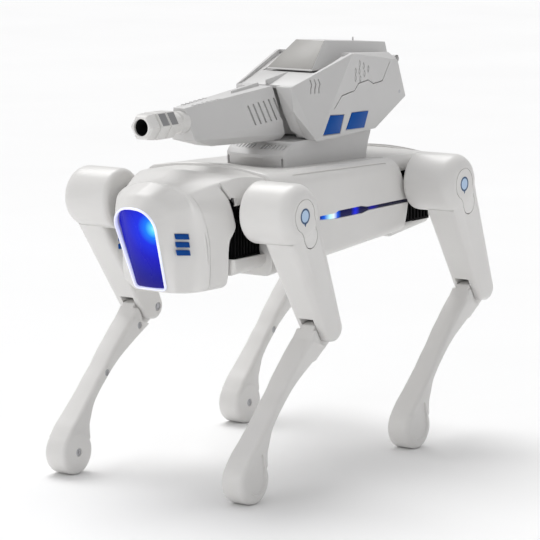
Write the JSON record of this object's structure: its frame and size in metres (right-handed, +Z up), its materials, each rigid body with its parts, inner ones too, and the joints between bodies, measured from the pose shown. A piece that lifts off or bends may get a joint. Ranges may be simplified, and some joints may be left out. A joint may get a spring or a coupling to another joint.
{
  "type": "robot dog toy",
  "caption": "White four-legged robot dog toy with a blue lit face, jointed hips and knees and a pitching launcher turret with an opening hopper lid on its back.",
  "frame": {"origin": "on the floor under the middle of the toy", "axes": "+X is the dog's left side, +Y its rear (the face looks towards -Y), +Z up"},
  "size_m": [0.1776, 0.305, 0.2698],
  "materials": {
    "white_shell": "satin white moulded plastic",
    "turret_shell": "satin pale grey-white moulded plastic",
    "pale_trim": "clear pale blue rim",
    "lens": "glossy tinted lens, lit from behind",
    "blue_trim": "glossy deep blue inserts",
    "light_strip": "dark navy strip with a blue glow",
    "black_plastic": "matte black",
    "grey_plastic": "matte grey",
    "board": "circuit board green",
    "battery_wrap": "blue shrink wrap",
    "speaker_metal": "dark grey",
    "screw_steel": "plain steel"
  },
  "bodies": {
    "body": {"upper_body_shell": "white_shell", "lower_body_shell": "white_shell", "head_shell": "white_shell", "head_collar": "white_shell", "tail_cap": "white_shell", "battery_door": "white_shell", "face_bezel": "pale_trim", "face_lens": "lens", "head_led_board": "board", "main_board": "board", "head_side_bars": "blue_trim", "turret_windows": "blue_trim", "side_light_left": "light_strip", "side_light_right": "light_strip", "hip_carrier_front": "black_plastic", "hip_carrier_rear": "black_plastic", "charge_socket": "black_plastic", "hip_gearmotors": "grey_plastic", "launcher_unit": "grey_plastic", "battery_pack": "battery_wrap", "speaker": "speaker_metal", "body_screws": "screw_steel", "turret_screws": "screw_steel", "turret_pedestal": "turret_shell", "turret_core": "turret_shell", "turret_plate_left": "turret_shell", "turret_plate_right": "turret_shell"},
    "switch_slider": {"power_switch": "black_plastic"},
    "lid": {"hopper_lid": "turret_shell"},
    "barrel": {"barrel_shroud": "turret_shell", "barrel_tube": "white_shell", "muzzle_tip": "white_shell"},
    "front_left_thigh_body": {"front_left_thigh_outer": "white_shell", "front_left_thigh_inner": "white_shell", "front_left_hip_badge": "pale_trim", "front_left_hip_shaft": "screw_steel", "front_left_knee_pin": "screw_steel"},
    "front_left_shank_body": {"front_left_shank_outer": "white_shell", "front_left_shank_inner": "white_shell"},
    "front_right_thigh_body": {"front_right_thigh_outer": "white_shell", "front_right_thigh_inner": "white_shell", "front_right_hip_badge": "pale_trim", "front_right_hip_shaft": "screw_steel", "front_right_knee_pin": "screw_steel"},
    "front_right_shank_body": {"front_right_shank_outer": "white_shell", "front_right_shank_inner": "white_shell"},
    "rear_left_thigh_body": {"rear_left_thigh_outer": "white_shell", "rear_left_thigh_inner": "white_shell", "rear_left_hip_badge": "pale_trim", "rear_left_hip_shaft": "screw_steel", "rear_left_knee_pin": "screw_steel"},
    "rear_left_shank_body": {"rear_left_shank_outer": "white_shell", "rear_left_shank_inner": "white_shell"},
    "rear_right_thigh_body": {"rear_right_thigh_outer": "white_shell", "rear_right_thigh_inner": "white_shell", "rear_right_hip_badge": "pale_trim", "rear_right_hip_shaft": "screw_steel", "rear_right_knee_pin": "screw_steel"},
    "rear_right_shank_body": {"rear_right_shank_outer": "white_shell", "rear_right_shank_inner": "white_shell"}
  },
  "joints": [
    {"name": "front_left_hip", "type": "hinge", "parent": "body", "child": "front_left_thigh_body", "pos_m": [0.07, -0.0925, 0.1745], "axis": [1, 0, 0], "range_deg": [-25, 25]},
    {"name": "front_left_knee", "type": "hinge", "parent": "front_left_thigh_body", "child": "front_left_shank_body", "pos_m": [0.071, -0.0435, 0.0967], "axis": [1, 0, 0], "range_deg": [0, 35]},
    {"name": "front_right_hip", "type": "hinge", "parent": "body", "child": "front_right_thigh_body", "pos_m": [-0.07, -0.0925, 0.1745], "axis": [1, 0, 0], "range_deg": [-25, 25]},
    {"name": "front_right_knee", "type": "hinge", "parent": "front_right_thigh_body", "child": "front_right_shank_body", "pos_m": [-0.071, -0.0435, 0.0967], "axis": [1, 0, 0], "range_deg": [0, 35]},
    {"name": "rear_left_hip", "type": "hinge", "parent": "body", "child": "rear_left_thigh_body", "pos_m": [0.07, 0.095, 0.1745], "axis": [1, 0, 0], "range_deg": [-25, 25]},
    {"name": "rear_left_knee", "type": "hinge", "parent": "rear_left_thigh_body", "child": "rear_left_shank_body", "pos_m": [0.071, 0.144, 0.0967], "axis": [1, 0, 0], "range_deg": [0, 35]},
    {"name": "rear_right_hip", "type": "hinge", "parent": "body", "child": "rear_right_thigh_body", "pos_m": [-0.07, 0.095, 0.1745], "axis": [1, 0, 0], "range_deg": [-25, 25]},
    {"name": "rear_right_knee", "type": "hinge", "parent": "rear_right_thigh_body", "child": "rear_right_shank_body", "pos_m": [-0.071, 0.144, 0.0967], "axis": [1, 0, 0], "range_deg": [0, 35]},
    {"name": "barrel_pitch", "type": "hinge", "parent": "body", "child": "barrel", "pos_m": [0, 0.006, 0.226], "axis": [-1, 0, 0], "range_deg": [-2, 8]},
    {"name": "lid_hinge", "type": "hinge", "parent": "body", "child": "lid", "pos_m": [0, 0.122, 0.2525], "axis": [-1, 0, 0], "range_deg": [0, 75]},
    {"name": "switch_slide", "type": "slide", "parent": "body", "child": "switch_slider", "axis": [0, 1, 0], "range_m": [0, 0.004]}
  ]
}
